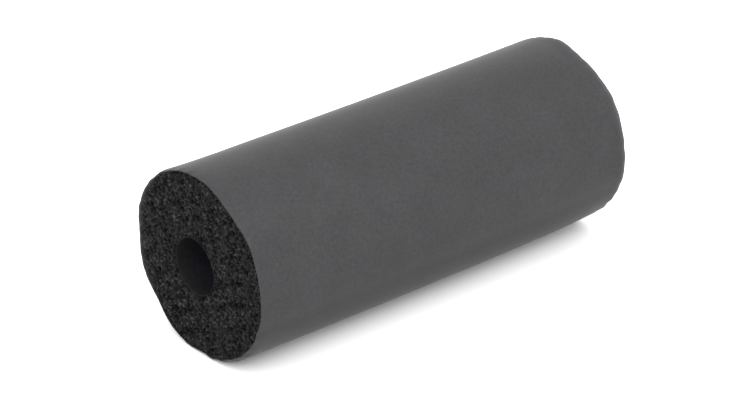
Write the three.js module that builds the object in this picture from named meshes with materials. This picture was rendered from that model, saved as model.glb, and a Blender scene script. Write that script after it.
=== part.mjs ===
// Pipe insulation: one cut length of black closed-cell foam tube, lying on its side.
// Sizes are in millimetres. +X runs along the tube, +Z is up, and it rests on Z = 0.

import * as THREE from 'three';

// The pipe that goes through, the slack round it, and the foam wall
const pipeDiameter = 15;
const boreSlack = 1;
const wallThickness = 19;
const tubeLength = 131;

// The bore runs off the centre of the tube, as it does in soft extruded stock
const boreSideways = 1.85;
const boreDrop = 0.7;

// The radius of the slight bow that the coiled stock keeps, with its outer side towards -Y
const bowRadius = 3350;

// The foam is a little out of round all along. Angles round the tube are in degrees: they start
// on the -Y side and grow up over the top. Each feature moves the skin outwards by its rise, which
// is less than zero where the tube is pressed flat, and fades over its spread in degrees.
const outOfRound = [
  { name: 'resting flat', at: -89, rise: -0.65, spread: 7 },
  { name: 'lower front ridge', at: -70, rise: 0.25, spread: 14 },
  { name: 'front ridge', at: -8, rise: 0.3, spread: 7 },
  { name: 'front shoulder', at: 35, rise: 0.3, spread: 6 },
  { name: 'upper flat', at: 60, rise: -0.7, spread: 10 },
  { name: 'back shoulder', at: 152, rise: 0.55, spread: 14 },
  { name: 'back flat', at: 178, rise: -0.55, spread: 10 },
  { name: 'lower back ridge', at: -157, rise: 0.35, spread: 8 },
  { name: 'lower back flat', at: -136, rise: -0.55, spread: 10 },
  { name: 'underside ridge', at: -116, rise: 0.25, spread: 8 },
];

// The knife draws the skin in all round both cuts, and leaves each rim a little out of shape. Each
// feature of a rim fades along the tube over its reach.
const rimDraw = 0.3;
const rimReach = 0.7;
const nearRim = [
  { name: 'pinch', at: -67, rise: -0.85, spread: 16, reach: 0.7 },
  { name: 'dent', at: 54, rise: -0.3, spread: 8, reach: 3.5 },
  { name: 'lip', at: 120, rise: 0.5, spread: 11, reach: 3.5 },
];
const farRim = [
  { name: 'pinch', at: -42, rise: -0.3, spread: 13, reach: 3.5 },
  { name: 'lip', at: 55, rise: 0.3, spread: 9, reach: 3.5 },
];

// Flat faces round the walls, and rows of them along the tube: some at set distances from each
// cut, where the skin turns in, and the rest spread evenly between
const facetsRound = 96;
const rowsByCut = [0.8, 2, 4.5, 9];
const rowsBetween = 6;

const boreRadius = (pipeDiameter + boreSlack) / 2;
const outsideRadius = boreRadius + wallThickness;

const foam = new THREE.MeshStandardMaterial({ color: 0x575759, roughness: 0.85, metalness: 0 });

function fade(distance, reach) {
  return Math.exp(-0.5 * (distance / reach) ** 2);
}

function featureRise(feature, degrees) {
  const apart = THREE.MathUtils.euclideanModulo(degrees - feature.at + 180, 360) - 180;
  return feature.rise * fade(apart, feature.spread);
}

// How far the skin stands off the true circle, at an angle and at distances from the two cuts
function skinRise(degrees, fromNearCut, fromFarCut) {
  let rise = 0;
  for (const feature of outOfRound) {
    rise += featureRise(feature, degrees);
  }
  rise -= rimDraw * (fade(fromNearCut, rimReach) + fade(fromFarCut, rimReach));
  for (const feature of nearRim) {
    rise += featureRise(feature, degrees) * fade(fromNearCut, feature.reach);
  }
  for (const feature of farRim) {
    rise += featureRise(feature, degrees) * fade(fromFarCut, feature.reach);
  }
  return rise;
}

// A round section with its bore, drawn with across as x and up as y
function roundSection() {
  const section = new THREE.Shape();
  section.absarc(0, 0, outsideRadius, 0, 2 * Math.PI);
  const bore = new THREE.Path();
  bore.absarc(boreSideways, -boreDrop, boreRadius, 0, 2 * Math.PI);
  section.holes.push(bore);
  return section;
}

// How far each row of points lies from the near cut
function rowPlaces() {
  const lastByCut = rowsByCut[rowsByCut.length - 1];
  const evenGap = (tubeLength - 2 * lastByCut) / rowsBetween;
  const places = [0, ...rowsByCut];
  for (let row = 1; row < rowsBetween; row += 1) {
    places.push(lastByCut + row * evenGap);
  }
  for (const distance of [...rowsByCut].reverse()) {
    places.push(tubeLength - distance);
  }
  places.push(tubeLength);
  return places;
}

// Gives each row its place along the tube, moves the points of the skin from the true circle to
// the soft outline, and bows the whole tube
function soften(geometry, places) {
  const points = geometry.getAttribute('position');
  const skinStartsAt = outsideRadius - wallThickness / 4;
  for (let i = 0; i < points.count; i += 1) {
    let across = points.getX(i);
    let up = points.getY(i);
    const along = places[Math.round(points.getZ(i))];
    const radius = Math.hypot(across, up);
    if (radius > skinStartsAt) {
      const degrees = THREE.MathUtils.radToDeg(Math.atan2(up, -across));
      const stretch = 1 + skinRise(degrees, along, tubeLength - along) / radius;
      across *= stretch;
      up *= stretch;
    }
    const bow = ((along - tubeLength / 2) ** 2) / (2 * bowRadius);
    points.setXYZ(i, across + bow, up, along);
  }
}

// Turns the drawing upright along +X, centres it and sets it down on Z = 0
function layOnFloor(geometry) {
  const across = new THREE.Vector3(0, 1, 0);
  const up = new THREE.Vector3(0, 0, 1);
  const along = new THREE.Vector3(1, 0, 0);
  geometry.applyMatrix4(new THREE.Matrix4().makeBasis(across, up, along));
  geometry.computeBoundingBox();
  const middle = geometry.boundingBox.getCenter(new THREE.Vector3());
  geometry.translate(-middle.x, -middle.y, -geometry.boundingBox.min.z);
  geometry.computeVertexNormals();
}

function foamTube() {
  const places = rowPlaces();
  const rows = places.length - 1;
  const geometry = new THREE.ExtrudeGeometry(roundSection(), {
    depth: rows,
    steps: rows,
    curveSegments: facetsRound / 2,
    bevelEnabled: false,
  });
  soften(geometry, places);
  layOnFloor(geometry);
  const tube = new THREE.Mesh(geometry, foam);
  tube.name = 'foam_tube';
  return tube;
}

const insulation = new THREE.Group();
insulation.add(foamTube());

export default insulation;
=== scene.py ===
"""A cut length of black foam pipe insulation.

It has a smooth moulded skin, a bore for the pipe, and two knife-cut ends full of open cells.
Lengths are in millimetres. Angles round the tube start on the -Y side and grow up over the top.
"""
import math

import bmesh
import bpy
import numpy as np
from mathutils import Matrix, Vector


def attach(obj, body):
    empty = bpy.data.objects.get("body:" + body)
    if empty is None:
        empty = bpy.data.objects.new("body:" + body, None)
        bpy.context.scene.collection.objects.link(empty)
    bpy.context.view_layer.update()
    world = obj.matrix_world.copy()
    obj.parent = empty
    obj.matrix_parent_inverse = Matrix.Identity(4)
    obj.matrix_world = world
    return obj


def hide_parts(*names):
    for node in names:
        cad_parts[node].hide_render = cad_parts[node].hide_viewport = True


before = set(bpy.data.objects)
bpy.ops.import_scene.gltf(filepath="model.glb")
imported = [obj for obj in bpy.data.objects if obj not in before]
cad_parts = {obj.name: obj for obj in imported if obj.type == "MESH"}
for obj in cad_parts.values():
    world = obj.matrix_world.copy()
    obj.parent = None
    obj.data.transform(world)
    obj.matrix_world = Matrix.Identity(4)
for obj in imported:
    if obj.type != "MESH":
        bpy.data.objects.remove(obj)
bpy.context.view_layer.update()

MM = 0.001
NODE = "foam_tube"
PIECE = "foam_tube_dressed"
TURN = 2 * math.pi

# Points round the two smooth walls, the waves that carry the skin's outline, and the rows of
# points: some at set distances from each cut, and the rest spread evenly between
SKIN_COLUMNS = 288
BORE_COLUMNS = 96
OUTLINE_WAVES = 24
SKIN_ROWS_BY_CUT = (0.03, 0.12, 0.27, 0.5, 0.8, 1.3, 2.0, 3.2, 4.8, 7.0, 10.0)
SKIN_ROWS_BETWEEN = 14
BORE_ROWS_BY_CUT = (0.35, 0.8, 2.0, 4.0, 7.0, 10.5, 15.0)
BORE_ROWS_BETWEEN = 14

# How round the rims and the bore's lips are
NEAR_ROUNDING = 0.16
FAR_ROUNDING = 0.9
LIP_ROUNDING = 0.12
LIP_DEPTH = 0.1

# Foam cells on the cuts: their sizes, and how many are tried
CELL_RADIUS = 0.53
CELL_RADIUS_SPREAD = 0.43
SMALLEST_CELL = 0.26
LARGEST_CELL = 1.12
CELLS_DRAWN = 3800
TRIES_PER_CELL = 36

# How the cells are set out: how near their neighbours and the edges they may come, as shares of
# their radius, and how much smaller they are by the rim
CELL_CROWDING = 0.84
EDGE_ROOM = 0.25
RIM_CELL_SIZE = 0.62
RIM_CELL_REACH = 2.2

# Steps and reaches of the search for a cell's neighbours and corners
EDGE_STEPS = 720
SCATTER_GRID = 2.2 * LARGEST_CELL
TWIN_REACH = 3 * LARGEST_CELL
CELL_START = 4 * LARGEST_CELL
NEIGHBOUR_GRID = 2.0 * LARGEST_CELL
NEIGHBOURS_TRIED = 40
WELD_UNDER = 0.05

# The walls between cells: a long one gets a middle point that wanders, and some are torn down, their
# colour painted darker as painted shade in the gap. Glints are a painted highlight on a share of the
# wall tops
LONG_WALL = 0.42
WALL_WANDER = 0.16
CORNER_HEIGHTS = (-0.096, 0.12)
MIDDLE_HEIGHTS = (-0.144, 0.072)
TORN_WALLS = 0.24
TORN_WALL_DEPTH = (0.15, 0.5)
TORN_WALL_PAINTED_SHADE = (0.2, 0.5)
LIP_TORN_DEPTH = 0.45
GLINTS = 0.09
GLINT_SHADES = (1.8, 3.1)
WALL_SHADES = (0.26, 1.64)

# Each cell's pit goes from its wall over a brink and a bowl to its floor. Depths are shares of the
# cell's radius, or of the pit's depth, and the rest are shares of the way to the floor's middle. The
# pit's brink, bowl and floor are painted darker as painted shade in the hollow, darkest in deep pits
DEEP_CELLS = 0.6
DEEP_PIT_DEPTHS = (1.3, 2.1)
DEEP_PIT_PAINTED_SHADE = (0.02, 0.12)
SHALLOW_PIT_DEPTHS = (0.25, 0.9)
SHALLOW_PIT_PAINTED_SHADE = (0.22, 0.62)
FLOOR_ASIDE = 0.2
BRINK_PLACES = (0.08, 0.28)
BRINK_DEPTHS = (0.05, 0.2)
BRINK_PAINTED_SHADE = (0.7, 1.0)
BOWL_PLACES = (0.42, 0.6)
BOWL_DEPTHS = (0.6, 0.85)
BOWL_SHADES = (0.8, 1.2)
BOWL_RISE = 0.5

# The slow rise and fall of each cut, made of two waves
CUT_UNEVENNESS = 0.07
FIRST_SWELL = (0.31, 0.17)
SECOND_SWELL = (-0.12, 0.23)
SWELL_START = 1.0
SWELL_LEVEL = 0.4

# Patches of lighter and darker foam on the cuts: how many waves make them, how long and how strong
PATCH_WAVES = 9
PATCH_LENGTHS = (2.2, 7.0)
PATCH_STRENGTH = 0.14

# Ripples along the rims: how many go round, and how high and how far along the tube they reach
RIM_RIPPLES = (14, 46)
RIM_RIPPLE_HEIGHT = 0.028
RIM_RIPPLE_SHARES = (0.3, 1.0)
RIM_RIPPLE_REACH = 1.1

# Bumps and nicks of the rims: each one's angle and spread in degrees, its height, and how far along
# the tube it reaches
NEAR_SPOTS = (
    (-74, 4, 0.2, 1.1),
    (-85, 3.5, -0.6, 1.1),
    (-101, 1.5, 0.12, 1.1),
    (165, 5, 0.22, 1.1),
    (-177, 5, -0.14, 1.1),
    (111, 7, -0.45, 4.0),
    (134, 12, -0.12, 1.1),
    (-148, 14, -0.14, 1.1),
    (-120, 13, -0.75, 1.5),
)
FAR_SPOTS = (
    (88, 6, 0.5, 1.1),
    (76, 6, -0.3, 1.1),
    (66, 6, -0.15, 1.1),
    (-56, 12, -0.4, 9.0),
    (-52, 12, -0.15, 1.1),
    (-30, 14, 0.1, 1.5),
    (30, 45, 0.3, 1.5),
)

# Dense foam next to the skin: a thin band all round that widens towards the back of the cut, and a
# lighter ring inside it there
RIM_BAND = 0.08
RIM_BAND_BACK = 0.5
BAND_SHADE = 0.85
BAND_SHADE_BACK = 2.5
BAND_SHADES = (0.8, 1.1)
BAND_FRONT_ANGLE = math.radians(-8)
BAND_STARTS = 0.25
BAND_WHOLE = 0.85
DENSE_RING = 2.2
DENSE_SHADE = 0.75

# Dense foam next to the bore, how ragged the knife leaves the bore's lip, and how much darker the
# cut is made there
BORE_BAND = 0.32
LIP_RAGGED = 0.16
LIP_RAGGED_REACH = 0.5
LIP_SHADE = 0.6
LIP_EDGE_SHADE = 0.15
LIP_RING = 0.4
LIP_RING_BACK = 1.8

# The skin is painted lighter along the far rim: a painted highlight on the turn of the rim
FAR_RIM_HIGHLIGHT = 2.0
FAR_RIM_HIGHLIGHT_REACH = 0.85

# The skin's colour is painted darker underneath, as painted shade: from this angle, over so many
# degrees, up to this share. It is painted darker still, as painted shade, where it nears the floor
UNDERSIDE_FROM = -11
UNDERSIDE_TO = -110
UNDERSIDE_SPREAD = 9
UNDERSIDE_PAINTED_SHADE = 0.2
LOWEST_FROM = -27
LOWEST_SPREAD = 16
LOWEST_PAINTED_SHADE = 0.2

# The bore keeps its own dark colour by the cuts, and is painted lighter and bluish, as painted stray
# light, from this far in
BORE_PAINTED_LIGHT_REACH = 15.0

# Each random part has its own seed
NEAR_CUT_SEED = 6
FAR_CUT_SEED = 8
NEAR_RIM_SEED = 17
FAR_RIM_SEED = 18
LIP_SEED = 27

# The mesh's three materials, and the two edges that the cells of a cut end on
SKIN, CUT, BORE = 0, 1, 2
OUTER, INNER = 1, 2


def smooth_step(x):
    x = np.clip(x, 0.0, 1.0)
    return x * x * (3 - 2 * x)


def fade(distance, reach):
    return np.exp(-0.5 * (distance / reach) ** 2)


def angle_of(across, up):
    """The angle round the tube: 0 on the -Y side, a quarter turn at the top."""
    return np.arctan2(up, -across)


def even_angles(count):
    return np.linspace(-math.pi, math.pi, count + 1)[:-1]


def waves(angle):
    """The constant, cosines and sines that an outline is made of."""
    steps = np.arange(1, OUTLINE_WAVES + 1)
    turns = np.multiply.outer(np.asarray(angle, float), steps)
    one = np.ones(turns.shape[:-1] + (1,))
    return np.concatenate([one, np.cos(turns), np.sin(turns)], axis=-1)


class Walls:
    """The CAD tube's skin and bore, read from its mesh as smooth curves."""

    def __init__(self, node):
        points = np.array([v.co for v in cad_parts[node].data.vertices]) / MM
        points = np.unique(points.round(3), axis=0)
        places = points[:, 0].round(1)
        self.rows = np.unique(places)
        centres, skins, bores = [], [], []
        for row in self.rows:
            ring = points[places == row][:, 1:]
            reach = np.hypot(*(ring - ring.mean(0)).T)
            halfway = (reach.min() + reach.max()) / 2
            bore, skin = ring[reach < halfway], ring[reach > halfway]
            centre = bore.mean(0)
            centres.append(centre)
            skins.append(self.outline(skin - centre))
            bores.append(np.hypot(*(bore - centre).T).mean())
        self.centres, self.skins = np.array(centres), np.array(skins)
        self.bore_radius = float(np.mean(bores))
        self.near, self.far = float(self.rows[0]), float(self.rows[-1])

    @staticmethod
    def outline(ring):
        basis = waves(angle_of(ring[:, 0], ring[:, 1]))
        return np.linalg.lstsq(basis, np.hypot(*ring.T), rcond=None)[0]

    def between_rows(self, values, x):
        """values, known at the CAD's rows, carried smoothly to the place x."""
        rows = self.rows
        slopes = np.gradient(values, rows, axis=0)
        k = int(np.clip(np.searchsorted(rows, x) - 1, 0, len(rows) - 2))
        gap = rows[k + 1] - rows[k]
        t = float(np.clip((x - rows[k]) / gap, 0, 1))
        a, b = values[k], values[k + 1]
        start, end = slopes[k] * gap, slopes[k + 1] * gap
        return ((2 * t**3 - 3 * t**2 + 1) * a + (t**3 - 2 * t**2 + t) * start
                + (3 * t**2 - 2 * t**3) * b + (t**3 - t**2) * end)

    def centre(self, x):
        """The middle of the bore."""
        return self.between_rows(self.centres, x)

    def skin_radius(self, angle, x):
        """How far the skin lies from the middle of the bore."""
        return waves(angle) @ self.between_rows(self.skins, x)


class Mesh:
    """Points, faces and what goes with them, collected before Blender's mesh is made."""

    def __init__(self):
        self.points, self.shades = [], []
        self.faces, self.materials = [], []

    def add(self, point, shade):
        self.points.append(point)
        self.shades.append(shade)
        return len(self.points) - 1

    def face(self, corners, material):
        if len(set(corners)) == len(corners):
            self.faces.append(corners)
            self.materials.append(material)


def zip_loops(mesh, first, second, first_angles, second_angles):
    """Fills the gap between two closed loops of a cut that run the same way round."""
    i, j = 0, 0
    while i < len(first) or j < len(second):
        next_first = first_angles[(i + 1) % len(first)] + TURN * ((i + 1) // len(first))
        next_second = second_angles[(j + 1) % len(second)] + TURN * ((j + 1) // len(second))
        a, b = first[i % len(first)], second[j % len(second)]
        if j >= len(second) or (i < len(first) and next_first <= next_second):
            mesh.face((a, first[(i + 1) % len(first)], b), CUT)
            i += 1
        else:
            mesh.face((a, second[(j + 1) % len(second)], b), CUT)
            j += 1


def rising(loop, angles):
    """The loop and its angles, turned and ordered so that the angles rise from the smallest."""
    if np.unwrap(angles)[-1] < np.unwrap(angles)[0]:
        loop, angles = loop[::-1], angles[::-1]
    start = int(np.argmin(angles))
    loop = loop[start:] + loop[:start]
    angles = np.concatenate([angles[start:], angles[:start]])
    return loop, np.maximum.accumulate(angles)


def at_back(angle):
    """From 0 on the front of a cut to 1 on its back, where the dense foam is thickest."""
    behind = -np.cos(np.asarray(angle, float) - BAND_FRONT_ANGLE)
    return smooth_step((behind - BAND_STARTS) / (BAND_WHOLE - BAND_STARTS))


def band_shade(angle):
    return BAND_SHADE + (BAND_SHADE_BACK - BAND_SHADE) * at_back(angle)


class Cells:
    """Foam cells that fill one cut between the bore and the skin, as a power diagram of seeds.

    Places on the cut are u across and v up from the middle of the bore.
    """

    def __init__(self, walls, x, rounding, random):
        self.walls, self.x, self.rounding, self.random = walls, x, rounding, random
        self.centre = walls.centre(x)
        self.patch_headings = random.uniform(0, TURN, PATCH_WAVES)
        self.patch_rates = TURN / random.uniform(*PATCH_LENGTHS, PATCH_WAVES)
        self.patch_phases = random.uniform(0, TURN, PATCH_WAVES)
        self.scatter()
        self.mirror()
        self.grow()

    def patch(self, u, v):
        """How light the foam is at a place, compared with the rest of the cut."""
        along = u * np.cos(self.patch_headings) + v * np.sin(self.patch_headings)
        swell = np.sin(along * self.patch_rates + self.patch_phases)
        return 1.0 + PATCH_STRENGTH * float(swell.sum())

    def lip_shade(self, u, v):
        """How much darker the cut is made towards the bore: over a wider ring on the cut's back."""
        back = 0.5 - 0.5 * math.cos(float(angle_of(u, v)))
        ring_width = LIP_RING + (LIP_RING_BACK - LIP_RING) * back
        from_bore = math.hypot(u, v) - self.inner()
        return LIP_SHADE + (1 - LIP_SHADE) * float(smooth_step(from_bore / ring_width))

    def dense_shade(self, u, v):
        """How much lighter the dense foam is along the back of the rim."""
        angle = angle_of(u, v)
        from_rim = float(self.outer(angle)) - math.hypot(u, v)
        return DENSE_SHADE * float(at_back(angle)) * (1 - float(smooth_step(from_rim / DENSE_RING)))

    def outer(self, angle):
        """How far the cells reach from the bore's middle: up to the dense band under the skin."""
        band = self.rounding + RIM_BAND + (RIM_BAND_BACK - RIM_BAND) * at_back(angle)
        return self.walls.skin_radius(angle, self.x) - band

    def inner(self):
        return self.walls.bore_radius + BORE_BAND

    def on_edge(self, u, v, edge):
        """The place on the outer or the inner edge at the same angle."""
        angle = float(angle_of(u, v))
        reach = float(self.outer(angle)) if edge == OUTER else self.inner()
        return -reach * math.cos(angle), reach * math.sin(angle)

    def scatter(self):
        """Seeds of mixed sizes, the large ones set first, none overlapping another by much."""
        draw = self.random
        radii = np.exp(draw.normal(math.log(CELL_RADIUS), CELL_RADIUS_SPREAD, CELLS_DRAWN))
        radii = np.sort(np.clip(radii, SMALLEST_CELL, LARGEST_CELL))[::-1]
        edges = self.outer(np.linspace(-math.pi, math.pi, EDGE_STEPS + 1))
        nearest, furthest = self.inner(), float(edges.max())
        grid, seeds = {}, []
        for radius in radii:
            for _ in range(TRIES_PER_CELL):
                distance = math.sqrt(draw.uniform(nearest ** 2, furthest ** 2))
                angle = draw.uniform(-math.pi, math.pi)
                edge = edges[int((angle + math.pi) / TURN * EDGE_STEPS)]
                if min(edge - distance, distance - nearest) < EDGE_ROOM * radius:
                    continue
                inside = min(1.0, (edge - distance) / RIM_CELL_REACH)
                size = radius * (RIM_CELL_SIZE + (1 - RIM_CELL_SIZE) * inside)
                u, v = -distance * math.cos(angle), distance * math.sin(angle)
                column, row = int(u // SCATTER_GRID), int(v // SCATTER_GRID)
                close = [seed for i in (-1, 0, 1) for j in (-1, 0, 1)
                         for seed in grid.get((column + i, row + j), ())]
                if all(math.hypot(u - a, v - b) > CELL_CROWDING * (size + r) for a, b, r in close):
                    grid.setdefault((column, row), []).append((u, v, size))
                    seeds.append((u, v, size))
                    break
        self.seeds = np.array(seeds)

    def mirror(self):
        """Each seed near an edge has a twin across it, so that the cells end on that edge."""
        u, v, size = self.seeds.T
        distance, angle = np.hypot(u, v), angle_of(u, v)
        outer = self.outer(angle)
        twins, edges = [], []
        for edge, limit in ((OUTER, outer), (INNER, np.full_like(outer, self.inner()))):
            for i in np.where(np.abs(limit - distance) < TWIN_REACH)[0]:
                far = 2 * limit[i] - distance[i]
                twins.append((-far * math.cos(angle[i]), far * math.sin(angle[i]), size[i]))
                edges.append(edge)
        self.all_seeds = np.vstack([self.seeds, np.array(twins)])
        self.edge_of = np.concatenate([np.zeros(len(self.seeds), int), np.array(edges)])

    def meeting_point(self, i, j, k):
        """The point where three cells meet."""
        three = [self.all_seeds[n] for n in (i, j, k)]
        (x1, y1, _), (x2, y2, _), (x3, y3, _) = three
        p1, p2, p3 = (x * x + y * y - r * r for x, y, r in three)
        a1, b1, c1 = 2 * (x2 - x1), 2 * (y2 - y1), p2 - p1
        a2, b2, c2 = 2 * (x3 - x1), 2 * (y3 - y1), p3 - p1
        spread = a1 * b2 - a2 * b1
        return (c1 * b2 - c2 * b1) / spread, (a1 * c2 - a2 * c1) / spread

    def cell_sides(self, i, neighbours):
        """The neighbours whose borders make up cell i, in order round it."""
        x, y, r = self.all_seeds[i]
        wide = CELL_START
        corners = [(-wide, -wide), (wide, -wide), (wide, wide), (-wide, wide)]
        sides = [-1, -2, -3, -4]
        for j in neighbours:
            dx, dy = self.all_seeds[j][0] - x, self.all_seeds[j][1] - y
            level = (dx * dx + dy * dy + r * r - self.all_seeds[j][2] ** 2) / 2
            inside = [px * dx + py * dy - level for px, py in corners]
            if max(inside) <= 0:
                continue
            if min(inside) > 0:
                return []
            new_corners, new_sides = [], []
            for n, (here, side) in enumerate(zip(corners, sides)):
                after = corners[(n + 1) % len(corners)]
                h0, h1 = inside[n], inside[(n + 1) % len(corners)]
                if h0 <= 0:
                    new_corners.append(here)
                    new_sides.append(side)
                if (h0 <= 0) != (h1 <= 0):
                    share = h0 / (h0 - h1)
                    cut_x = here[0] + share * (after[0] - here[0])
                    cut_y = here[1] + share * (after[1] - here[1])
                    new_corners.append((cut_x, cut_y))
                    new_sides.append(j if h0 <= 0 else side)
            corners, sides = new_corners, new_sides
        return sides

    def grow(self):
        """Finds every cell's corners. Corners that nearly touch become one."""
        seeds = self.all_seeds
        bins = {}
        for n, (x, y, _) in enumerate(seeds):
            home = (int(x // NEIGHBOUR_GRID), int(y // NEIGHBOUR_GRID))
            bins.setdefault(home, []).append(n)
        self.corner_points, self.corner_ids, self.corner_edges = [], {}, []
        self.polygons = []
        for i, (x, y, _) in enumerate(self.seeds):
            column, row = int(x // NEIGHBOUR_GRID), int(y // NEIGHBOUR_GRID)
            close = [n for a in (-2, -1, 0, 1, 2) for b in (-2, -1, 0, 1, 2)
                     for n in bins.get((column + a, row + b), ()) if n != i]
            close.sort(key=lambda n: (seeds[n][0] - x) ** 2 + (seeds[n][1] - y) ** 2)
            sides = self.cell_sides(i, close[:NEIGHBOURS_TRIED])
            if len(sides) >= 3:
                corners = [self.corner(i, sides[n - 1], sides[n]) for n in range(len(sides))]
                self.polygons.append((corners, sides))
        self.weld()

    def corner(self, i, j, k):
        key = tuple(sorted((i, j, k)))
        if key not in self.corner_ids:
            u, v = self.meeting_point(*key)
            edge = min({int(self.edge_of[n]) for n in key} - {0}, default=0)
            if edge:
                u, v = self.on_edge(u, v, edge)
            self.corner_ids[key] = len(self.corner_points)
            self.corner_points.append((u, v))
            self.corner_edges.append(edge)
        return self.corner_ids[key]

    def weld(self):
        """Joins the two ends of very short sides."""
        parent = list(range(len(self.corner_points)))

        def root(n):
            while parent[n] != n:
                n = parent[n]
            return n

        for corners, _ in self.polygons:
            for a, b in zip(corners, corners[1:] + corners[:1]):
                a, b = root(a), root(b)
                (ax, ay), (bx, by) = self.corner_points[a], self.corner_points[b]
                if a != b and math.hypot(ax - bx, ay - by) < WELD_UNDER:
                    keep, drop = (a, b) if self.corner_edges[a] else (b, a)
                    parent[drop] = keep
        welded = []
        for corners, sides in self.polygons:
            ids, kept = [], []
            for n, (here, side) in enumerate(zip(corners, sides)):
                after = root(corners[(n + 1) % len(corners)])
                if root(here) != after:
                    ids.append(root(here))
                    kept.append(side)
            welded.append((ids, kept))
        self.polygons = welded

    def unevenness(self, u, v):
        """The cut's slow rise and fall."""
        first = math.sin(FIRST_SWELL[0] * u + FIRST_SWELL[1] * v + SWELL_START)
        second = math.cos(SECOND_SWELL[0] * u + SECOND_SWELL[1] * v)
        return CUT_UNEVENNESS * (first * second - SWELL_LEVEL)

    def build(self, mesh, outward):
        """Adds the cells to the mesh, and returns the outer and the inner loop with their angles."""
        draw = self.random
        ids, middles = {}, {}
        onward = {OUTER: {}, INNER: {}}

        def place(u, v, rise, shade):
            across, up = self.centre
            return mesh.add((self.x + outward * rise, across + u, up + v), shade)

        def wall_top(u, v, edge):
            """The height and shade of a wall: torn along the bore, and dense along the skin."""
            rise = self.unevenness(u, v)
            # Glints are a painted highlight on a share of the wall tops
            shades = GLINT_SHADES if draw.uniform() < GLINTS else WALL_SHADES
            shade = draw.uniform(*shades) * self.patch(u, v) * self.lip_shade(u, v)
            shade += self.dense_shade(u, v)
            if edge == INNER:
                rise -= draw.uniform(0, LIP_TORN_DEPTH)
            elif edge == OUTER:
                shade = band_shade(angle_of(u, v)) * draw.uniform(*BAND_SHADES)
            return rise, shade

        def corner(n):
            if n not in ids:
                u, v = self.corner_points[n]
                rise, shade = wall_top(u, v, self.corner_edges[n])
                if not self.corner_edges[n]:
                    rise += draw.uniform(*CORNER_HEIGHTS)
                ids[n] = place(u, v, rise, shade)
            return ids[n]

        def middle(a, b, edge):
            (au, av), (bu, bv) = self.corner_points[a], self.corner_points[b]
            u, v = (au + bu) / 2, (av + bv) / 2
            if edge:
                u, v = self.on_edge(u, v, edge)
                return place(u, v, *wall_top(u, v, edge))
            wander = draw.uniform(-1, 1) * WALL_WANDER
            u, v = u - wander * (bv - av), v + wander * (bu - au)
            rise, shade = wall_top(u, v, edge)
            # A torn wall is lower and painted darker, a painted shade in the gap
            if draw.uniform() < TORN_WALLS:
                rise -= draw.uniform(*TORN_WALL_DEPTH)
                shade *= draw.uniform(*TORN_WALL_PAINTED_SHADE)
            else:
                rise += draw.uniform(*MIDDLE_HEIGHTS)
            return place(u, v, rise, shade)

        def side_points(a, b, edge):
            """The points from corner a up to corner b, with a middle one on a long side."""
            (au, av), (bu, bv) = self.corner_points[a], self.corner_points[b]
            if math.hypot(bu - au, bv - av) < LONG_WALL:
                return [corner(a)]
            key = (min(a, b), max(a, b))
            if key not in middles:
                middles[key] = middle(a, b, edge)
            return [corner(a), middles[key]]

        for corners, sides in self.polygons:
            if len(corners) < 3:
                continue
            ring = []
            for n, (here, side) in enumerate(zip(corners, sides)):
                edge = int(self.edge_of[side])
                after = corners[(n + 1) % len(corners)]
                piece = side_points(here, after, edge)
                if edge:
                    for start, end in zip(piece, piece[1:] + [corner(after)]):
                        onward[edge][start] = end
                ring += piece
            self.pit(mesh, ring, outward, place)
        return self.loop(mesh, onward[OUTER]), self.loop(mesh, onward[INNER])

    def pit(self, mesh, ring, outward, place):
        """One open cell: its torn wall top, a steep bowl and its floor."""
        draw = self.random
        flat = np.array([mesh.points[n][1:] for n in ring]) - self.centre
        rises = np.array([(mesh.points[n][0] - self.x) * outward for n in ring])
        middle = flat.mean(0)
        reach = float(np.hypot(*(flat - middle).T).mean())
        deep = draw.uniform() < DEEP_CELLS
        depth = reach * draw.uniform(*(DEEP_PIT_DEPTHS if deep else SHALLOW_PIT_DEPTHS))
        # Painted shade: the pit's floor and bowl are painted darker as shade in the hollow, deep
        # pits darkest
        shade = draw.uniform(*(DEEP_PIT_PAINTED_SHADE if deep else SHALLOW_PIT_PAINTED_SHADE))
        shade = shade * self.patch(*middle) + self.dense_shade(*middle)
        floor_place = middle + draw.uniform(-FLOOR_ASIDE, FLOOR_ASIDE, 2) * reach
        brinks, bowls = [], []
        for wall_place, rise, wall in zip(flat, rises, ring):
            u, v = wall_place + (floor_place - wall_place) * draw.uniform(*BRINK_PLACES)
            brink_rise = rise - depth * draw.uniform(*BRINK_DEPTHS)
            brinks.append(place(u, v, brink_rise, mesh.shades[wall] * draw.uniform(*BRINK_PAINTED_SHADE)))
            u, v = wall_place + (floor_place - wall_place) * draw.uniform(*BOWL_PLACES)
            bowl_rise = rise * BOWL_RISE - depth * draw.uniform(*BOWL_DEPTHS)
            bowls.append(place(u, v, bowl_rise, shade * draw.uniform(*BOWL_SHADES)))
        floor = place(*floor_place, -depth, shade)
        for n in range(len(ring)):
            m = (n + 1) % len(ring)
            mesh.face((ring[n], ring[m], brinks[m], brinks[n]), CUT)
            mesh.face((brinks[n], brinks[m], bowls[m], bowls[n]), CUT)
            mesh.face((bowls[n], bowls[m], floor), CUT)

    def loop(self, mesh, onward):
        """The closed loop of points that the cells end on, and the angles of its points."""
        start = next(iter(onward))
        found, here = [start], onward[start]
        while here != start and len(found) <= len(onward):
            found.append(here)
            here = onward[here]
        if len(found) != len(onward):
            raise ValueError(f"the cells' edge has {len(onward)} sides and its loop {len(found)}")
        flat = np.array([mesh.points[n][1:] for n in found]) - self.centre
        return rising(found, angle_of(flat[:, 0], flat[:, 1]))


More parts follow.
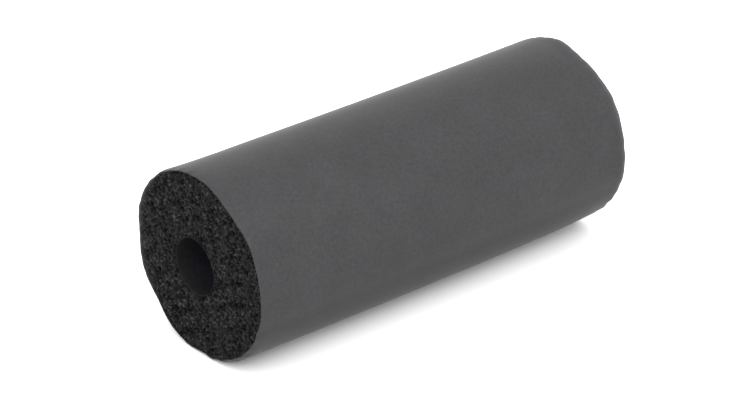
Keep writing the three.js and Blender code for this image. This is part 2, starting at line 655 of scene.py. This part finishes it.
class RimRelief:
    """Small bumps and nicks that the knife leaves along one rim, fading out down the skin."""

    def __init__(self, spots, random):
        self.spots = spots
        self.counts = np.arange(*RIM_RIPPLES)
        self.phases = random.uniform(0, TURN, len(self.counts))
        self.heights = random.uniform(*RIM_RIPPLE_SHARES, len(self.counts)) * RIM_RIPPLE_HEIGHT

    def __call__(self, angles, from_cut):
        turns = np.multiply.outer(angles, self.counts) + self.phases
        rise = np.cos(turns) @ self.heights * fade(from_cut, RIM_RIPPLE_REACH)
        for at, spread, height, reach in self.spots:
            apart = (np.degrees(angles) - at + 180) % 360 - 180
            rise = rise + height * fade(apart, spread) * fade(from_cut, reach)
        return rise


def row_places(near, far, by_cut, between):
    """Places along the tube: close together by each cut and even between."""
    left = [near + d for d in by_cut]
    right = [far - d for d in reversed(by_cut)]
    middle = np.linspace(left[-1], right[0], between + 1)[1:-1]
    return left + [float(x) for x in middle] + right


def add_ring(mesh, walls, x, angles, radii, shade):
    """Adds a ring of points round the bore. The shade is one for all or one for each."""
    across, up = walls.centre(x)
    shades = np.broadcast_to(shade, len(angles))
    return [mesh.add((x, across - r * math.cos(a), up + r * math.sin(a)), float(s))
            for a, r, s in zip(angles, radii, shades)]


def join_rings(mesh, rings, material):
    for here, there in zip(rings, rings[1:]):
        for n in range(len(here)):
            m = (n + 1) % len(here)
            mesh.face((here[n], here[m], there[m], there[n]), material)


def rounded(from_cut, size):
    """How far a rounded edge of this size lies inside a sharp one."""
    part = max(0.0, 1.0 - from_cut / size)
    return size * (1.0 - math.sqrt(1.0 - part * part))


def build_tube(walls):
    mesh = Mesh()
    near, far = walls.near, walls.far
    skin_angles, bore_angles = even_angles(SKIN_COLUMNS), even_angles(BORE_COLUMNS)
    near_relief = RimRelief(NEAR_SPOTS, np.random.default_rng(NEAR_RIM_SEED))
    far_relief = RimRelief(FAR_SPOTS, np.random.default_rng(FAR_RIM_SEED))
    lip_draw = np.random.default_rng(LIP_SEED)
    near_ragged, far_ragged = lip_draw.uniform(0, LIP_RAGGED, (2, BORE_COLUMNS))

    # Painted shade: the skin's colour is darkened on its underside, and more where it nears the
    # floor
    degrees = np.degrees(skin_angles)
    painted_shade = UNDERSIDE_PAINTED_SHADE * smooth_step((UNDERSIDE_FROM - degrees) / UNDERSIDE_SPREAD)
    painted_shade += LOWEST_PAINTED_SHADE * smooth_step((LOWEST_FROM - degrees) / LOWEST_SPREAD)
    painted_shade *= smooth_step((degrees - UNDERSIDE_TO) / UNDERSIDE_SPREAD)

    def skin_radii(x):
        relief = near_relief(skin_angles, x - near) + far_relief(skin_angles, far - x)
        rounding = rounded(x - near, NEAR_ROUNDING) + rounded(far - x, FAR_ROUNDING)
        return walls.skin_radius(skin_angles, x) + relief - rounding

    def skin_painted_light(x):
        # A painted highlight along the far rim, times the painted shade on the underside
        return (1.0 + FAR_RIM_HIGHLIGHT * fade(far - x, FAR_RIM_HIGHLIGHT_REACH)) * (1.0 - painted_shade)

    def bore_radii(x):
        near_part = near_ragged * fade(x - near, LIP_RAGGED_REACH)
        far_part = far_ragged * fade(far - x, LIP_RAGGED_REACH)
        return walls.bore_radius + near_part + far_part

    def bore_depth(x):
        """From 0 at a cut to 1 deep in the bore."""
        return float(smooth_step(min(x - near, far - x) / BORE_PAINTED_LIGHT_REACH))

    skins = [add_ring(mesh, walls, x, skin_angles, skin_radii(x), skin_painted_light(x))
             for x in row_places(near, far, SKIN_ROWS_BY_CUT, SKIN_ROWS_BETWEEN)]
    # Each bore point's shade is how deep it lies, which sets the painted stray light inside the bore
    bores = [add_ring(mesh, walls, x, bore_angles, bore_radii(x), bore_depth(x))
             for x in row_places(near, far, BORE_ROWS_BY_CUT, BORE_ROWS_BETWEEN)]
    join_rings(mesh, skins, SKIN)
    join_rings(mesh, bores, BORE)

    def add_cut(x, outward, end, rounding, seed):
        cells = Cells(walls, x, rounding, np.random.default_rng(seed))
        (outer, outer_angles), (inner, inner_angles) = cells.build(mesh, outward)
        # The rim ring takes the same painted highlight and painted shade as the skin beside it
        rim_shade = band_shade(skin_angles) * skin_painted_light(x)
        rim = add_ring(mesh, walls, x, skin_angles, skin_radii(x), rim_shade)
        lip_radii = bore_radii(x) + LIP_ROUNDING
        lip = add_ring(mesh, walls, x - outward * LIP_DEPTH, bore_angles, lip_radii, LIP_EDGE_SHADE)
        zip_loops(mesh, outer, rim, outer_angles, skin_angles)
        zip_loops(mesh, inner, lip, inner_angles, bore_angles)
        join_rings(mesh, [rim, skins[end]], SKIN)
        join_rings(mesh, [lip, bores[end]], BORE)
        print("cells on a cut:", len(cells.seeds))

    add_cut(near, -1, 0, NEAR_ROUNDING, NEAR_CUT_SEED)
    add_cut(far, 1, -1, FAR_ROUNDING, FAR_CUT_SEED)
    return mesh


# The map for baking: the skin unrolled, the bore beside it at half size, and the two cuts above
MAP_GAP = 2.0
BORE_MAP_SCALE = 0.5
GIRTH_STEPS = 90


def map_corners(mesh, walls):
    """UV corners for every face, in the order of its corners."""
    length = walls.far - walls.near
    girth = TURN * float(walls.skin_radius(even_angles(GIRTH_STEPS), 0.0).mean())
    bore_width = TURN * walls.bore_radius * BORE_MAP_SCALE
    side = girth + MAP_GAP * 3 + bore_width
    cut_room = side - length - 3 * MAP_GAP
    points = np.array(mesh.points)
    centres = np.array([walls.centre(x) for x in points[:, 0]])
    flat = points[:, 1:] - centres
    turns = ((angle_of(flat[:, 0], flat[:, 1]) + math.pi / 2) / TURN) % 1.0
    scale = cut_room / (np.abs(flat).max() * 2)
    corners = []
    for face, material in zip(mesh.faces, mesh.materials):
        face = list(face)
        share = turns[face]
        if share.max() - share.min() > 0.5:
            share = np.where(share < 0.5, share + 1, share)
        along = points[face, 0] - walls.near
        if material == SKIN:
            u, v = MAP_GAP + share * girth, MAP_GAP + along
        elif material == BORE:
            u, v = 2 * MAP_GAP + girth + share * bore_width, MAP_GAP + along
        else:
            shift = cut_room / 2 if along.mean() < length / 2 else cut_room * 1.5 + MAP_GAP
            u = MAP_GAP + shift + flat[face, 0] * scale
            v = 2 * MAP_GAP + length + cut_room / 2 + flat[face, 1] * scale
        corners += list(zip(u / side, v / side))
    return corners


def make_object(mesh, walls, materials):
    data = bpy.data.meshes.new(PIECE)
    data.from_pydata([Vector(p) * MM for p in mesh.points], [], mesh.faces)
    data.polygons.foreach_set("material_index", mesh.materials)
    data.attributes.new("shade", "FLOAT", "POINT").data.foreach_set("value", mesh.shades)
    layer = data.uv_layers.new(name="OFBake")
    layer.uv.foreach_set("vector", np.array(map_corners(mesh, walls)).ravel())
    for material in materials:
        data.materials.append(material)
    work = bmesh.new()
    work.from_mesh(data)
    bmesh.ops.recalc_face_normals(work, faces=work.faces)
    open_edges = sum(1 for e in work.edges if len(e.link_faces) != 2)
    print("edges without two faces:", open_edges, "points:", len(work.verts))
    work.to_mesh(data)
    work.free()
    data.shade_smooth()
    piece = bpy.data.objects.new(PIECE, data)
    bpy.context.scene.collection.objects.link(piece)
    return piece


# Colours of the foam
SKIN_COLOUR = (0.0240, 0.0240, 0.0254)
CUT_COLOUR = (0.0121, 0.0121, 0.0124)
BORE_COLOUR = (0.0080, 0.0080, 0.0077)
# Painted light: the bore's colour deep inside, lighter and bluish as stray light
DEEP_BORE_PAINTED_LIGHT = (0.0122, 0.0120, 0.0195)

# How rough, shiny and sheeny each surface is
SKIN_ROUGHNESS = 0.6
SKIN_SPECULAR = 0.2
SKIN_SHEEN = 0.1
SKIN_SHEEN_ROUGHNESS = 0.25
CUT_ROUGHNESS = 0.6
BORE_ROUGHNESS = 0.7
INSIDE_SPECULAR = 0.05

# Noises: each one's scale, detail and roughness
SKIN_CLOUDS = (90.0, 2.0, 0.5)
SKIN_SPECKLE = (1100.0, 4.0, 0.7)
SKIN_SWELL = (260.0, 2.0, 0.5)
SKIN_GRAIN = (1400.0, 3.0, 0.5)
CUT_GRAIN = (1800.0, 3.0, 0.5)
BORE_GRAIN = (700.0, 3.0, 0.5)

# What the noises do: the span of a noise that counts, how much it darkens and lightens a colour,
# and the height in metres and the strength of a bump
NOISE_SPAN = (0.3, 0.7)
CLOUD_SHADES = (0.93, 1.07)
SPECKLE_SHADES = (0.78, 1.22)
BORE_SHADES = (0.8, 1.2)
SWELL_BUMP = (0.00008, 0.5)
SKIN_GRAIN_BUMP = (0.00003, 0.5)
CUT_GRAIN_BUMP = (0.00006, 0.6)
BORE_GRAIN_BUMP = (0.0001, 0.5)


class Material:
    """A Blender material with a Principled shader, and the nodes that feed it."""

    def __init__(self, name, roughness, specular):
        self.data = bpy.data.materials.new(name)
        self.data.use_nodes = True
        self.nodes, self.links = self.data.node_tree.nodes, self.data.node_tree.links
        self.sockets = self.nodes["Principled BSDF"].inputs
        self.sockets["Roughness"].default_value = roughness
        self.sockets["Specular IOR Level"].default_value = specular

    def noise(self, scale, detail, rough):
        place = self.nodes.new("ShaderNodeTexCoord")
        texture = self.nodes.new("ShaderNodeTexNoise")
        texture.inputs["Scale"].default_value = scale
        texture.inputs["Detail"].default_value = detail
        texture.inputs["Roughness"].default_value = rough
        self.links.new(place.outputs["Object"], texture.inputs["Vector"])
        return texture.outputs["Fac"]

    def varied(self, source, low, high):
        """A factor from low to high that follows a noise."""
        span = self.nodes.new("ShaderNodeMapRange")
        span.inputs["From Min"].default_value, span.inputs["From Max"].default_value = NOISE_SPAN
        span.inputs["To Min"].default_value = low
        span.inputs["To Max"].default_value = high
        self.links.new(source, span.inputs["Value"])
        return span.outputs["Result"]

    def point_shade(self):
        """The shade that each point of the mesh keeps."""
        shade = self.nodes.new("ShaderNodeAttribute")
        shade.attribute_name = "shade"
        return shade.outputs["Fac"]

    def blended(self, factor, first, second):
        """A colour between two others."""
        blend = self.nodes.new("ShaderNodeMix")
        blend.data_type = "RGBA"
        self.links.new(factor, blend.inputs["Factor"])
        blend.inputs["A"].default_value = (*first, 1.0)
        blend.inputs["B"].default_value = (*second, 1.0)
        return blend.outputs["Result"]

    def scaled(self, colour, factor):
        """A colour made lighter or darker by a factor."""
        product = self.nodes.new("ShaderNodeVectorMath")
        product.operation = "SCALE"
        if isinstance(colour, tuple):
            product.inputs[0].default_value = colour
        else:
            self.links.new(colour, product.inputs[0])
        self.links.new(factor, product.inputs["Scale"])
        return product.outputs["Vector"]

    def bump(self, height, distance, strength, below=None):
        bump = self.nodes.new("ShaderNodeBump")
        bump.inputs["Strength"].default_value = strength
        bump.inputs["Distance"].default_value = distance
        self.links.new(height, bump.inputs["Height"])
        if below is not None:
            self.links.new(below, bump.inputs["Normal"])
        return bump.outputs["Normal"]

    def finish(self, colour, normal):
        self.links.new(colour, self.sockets["Base Color"])
        self.links.new(normal, self.sockets["Normal"])
        return self.data


def skin_material():
    skin = Material("foam_skin", SKIN_ROUGHNESS, SKIN_SPECULAR)
    skin.sockets["Sheen Weight"].default_value = SKIN_SHEEN
    skin.sockets["Sheen Roughness"].default_value = SKIN_SHEEN_ROUGHNESS
    # The point shade paints a highlight along the far rim and shade on the underside
    colour = skin.scaled(SKIN_COLOUR, skin.point_shade())
    colour = skin.scaled(colour, skin.varied(skin.noise(*SKIN_CLOUDS), *CLOUD_SHADES))
    colour = skin.scaled(colour, skin.varied(skin.noise(*SKIN_SPECKLE), *SPECKLE_SHADES))
    normal = skin.bump(skin.noise(*SKIN_SWELL), *SWELL_BUMP)
    normal = skin.bump(skin.noise(*SKIN_GRAIN), *SKIN_GRAIN_BUMP, normal)
    return skin.finish(colour, normal)


def cut_material():
    cut = Material("foam_cut", CUT_ROUGHNESS, INSIDE_SPECULAR)
    # The point shade holds the cut's own tone and the painted shade in its pits
    colour = cut.scaled(CUT_COLOUR, cut.point_shade())
    return cut.finish(colour, cut.bump(cut.noise(*CUT_GRAIN), *CUT_GRAIN_BUMP))


def bore_material():
    bore = Material("foam_bore", BORE_ROUGHNESS, INSIDE_SPECULAR)
    grain = bore.noise(*BORE_GRAIN)
    # The bore is painted lighter and bluish deep inside, as painted stray light
    colour = bore.blended(bore.point_shade(), BORE_COLOUR, DEEP_BORE_PAINTED_LIGHT)
    colour = bore.scaled(colour, bore.varied(grain, *BORE_SHADES))
    return bore.finish(colour, bore.bump(grain, *BORE_GRAIN_BUMP))


# Camera, as read from the photograph, with angles in degrees. It looks at the tube's own middle,
# which lies beside the middle of its off-centre bore. Its clip distances are in metres
CAMERA_TURN = 40.21
CAMERA_RISE = 27.54
CAMERA_DISTANCE = 890.6
CAMERA_ASIDE = 3.31
CAMERA_ABOVE = 4.45
LENS_PIXELS = 3228.5
PICTURE_WIDTH = 750
SENSOR_WIDTH = 36.0
CLIP_START, CLIP_END = 0.01, 20.0
BORE_OFF_CENTRE = (1.85, -0.7)


def make_camera(walls):
    across, up = walls.centre(walls.near)
    look_at = Vector((0, across - BORE_OFF_CENTRE[0], up - BORE_OFF_CENTRE[1])) * MM
    turn, rise = math.radians(CAMERA_TURN), math.radians(CAMERA_RISE)
    level = math.cos(rise)
    right = Vector((math.cos(turn), -math.sin(turn), 0))
    forward = Vector((math.sin(turn) * level, math.cos(turn) * level, -math.sin(rise)))
    above = right.cross(forward)
    data = bpy.data.cameras.new("camera")
    data.sensor_width = SENSOR_WIDTH
    data.lens = LENS_PIXELS / PICTURE_WIDTH * SENSOR_WIDTH
    data.clip_start, data.clip_end = CLIP_START, CLIP_END
    camera = bpy.data.objects.new("camera", data)
    away = right * CAMERA_ASIDE + above * CAMERA_ABOVE + forward * CAMERA_DISTANCE
    facing = Matrix((right, above, -forward)).transposed().to_4x4()
    camera.matrix_world = Matrix.Translation(look_at - away * MM) @ facing
    bpy.context.scene.collection.objects.link(camera)
    bpy.context.scene.camera = camera


# Floor and light, in metres, watts and degrees
FLOOR_HALF_WIDTH = 3.0
FLOOR_WHITE = 0.83
FLOOR_ROUGHNESS = 0.9
FLOOR_SPECULAR = 0.0
WORLD_STRENGTH = 1.87
PANEL_WATTS = 37.0
PANEL_RISE = 48
PANEL_TURN = 35
PANEL_AWAY = 2.0
PANEL_SIZE = (2.4, 1.4)


def make_floor():
    size = FLOOR_HALF_WIDTH
    corners = [(-size, -size, 0), (size, -size, 0), (size, size, 0), (-size, size, 0)]
    data = bpy.data.meshes.new("floor")
    data.from_pydata(corners, [], [(0, 1, 2, 3)])
    white = Material("floor_white", FLOOR_ROUGHNESS, FLOOR_SPECULAR)
    white.sockets["Base Color"].default_value = (FLOOR_WHITE, FLOOR_WHITE, FLOOR_WHITE, 1)
    data.materials.append(white.data)
    floor = bpy.data.objects.new("floor", data)
    bpy.context.scene.collection.objects.link(floor)


def make_light():
    world = bpy.data.worlds.new("studio")
    world.use_nodes = True
    sky = world.node_tree.nodes["Background"].inputs
    sky["Color"].default_value = (1, 1, 1, 1)
    sky["Strength"].default_value = WORLD_STRENGTH
    bpy.context.scene.world = world
    data = bpy.data.lights.new("panel", "AREA")
    data.shape, data.energy = "RECTANGLE", PANEL_WATTS
    data.size, data.size_y = PANEL_SIZE
    panel = bpy.data.objects.new("panel", data)
    rise, turn = math.radians(PANEL_RISE), math.radians(PANEL_TURN)
    reach, height = PANEL_AWAY * math.cos(rise), PANEL_AWAY * math.sin(rise)
    panel.location = (-reach * math.sin(turn), -reach * math.cos(turn), height)
    panel.rotation_euler = (math.pi / 2 - rise, 0, -turn)
    bpy.context.scene.collection.objects.link(panel)
    bpy.context.scene.view_settings.view_transform = "Standard"


walls = Walls(NODE)
make_camera(walls)
tube = make_object(build_tube(walls), walls, [skin_material(), cut_material(), bore_material()])
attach(tube, "root")
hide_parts(NODE)
make_floor()
make_light()
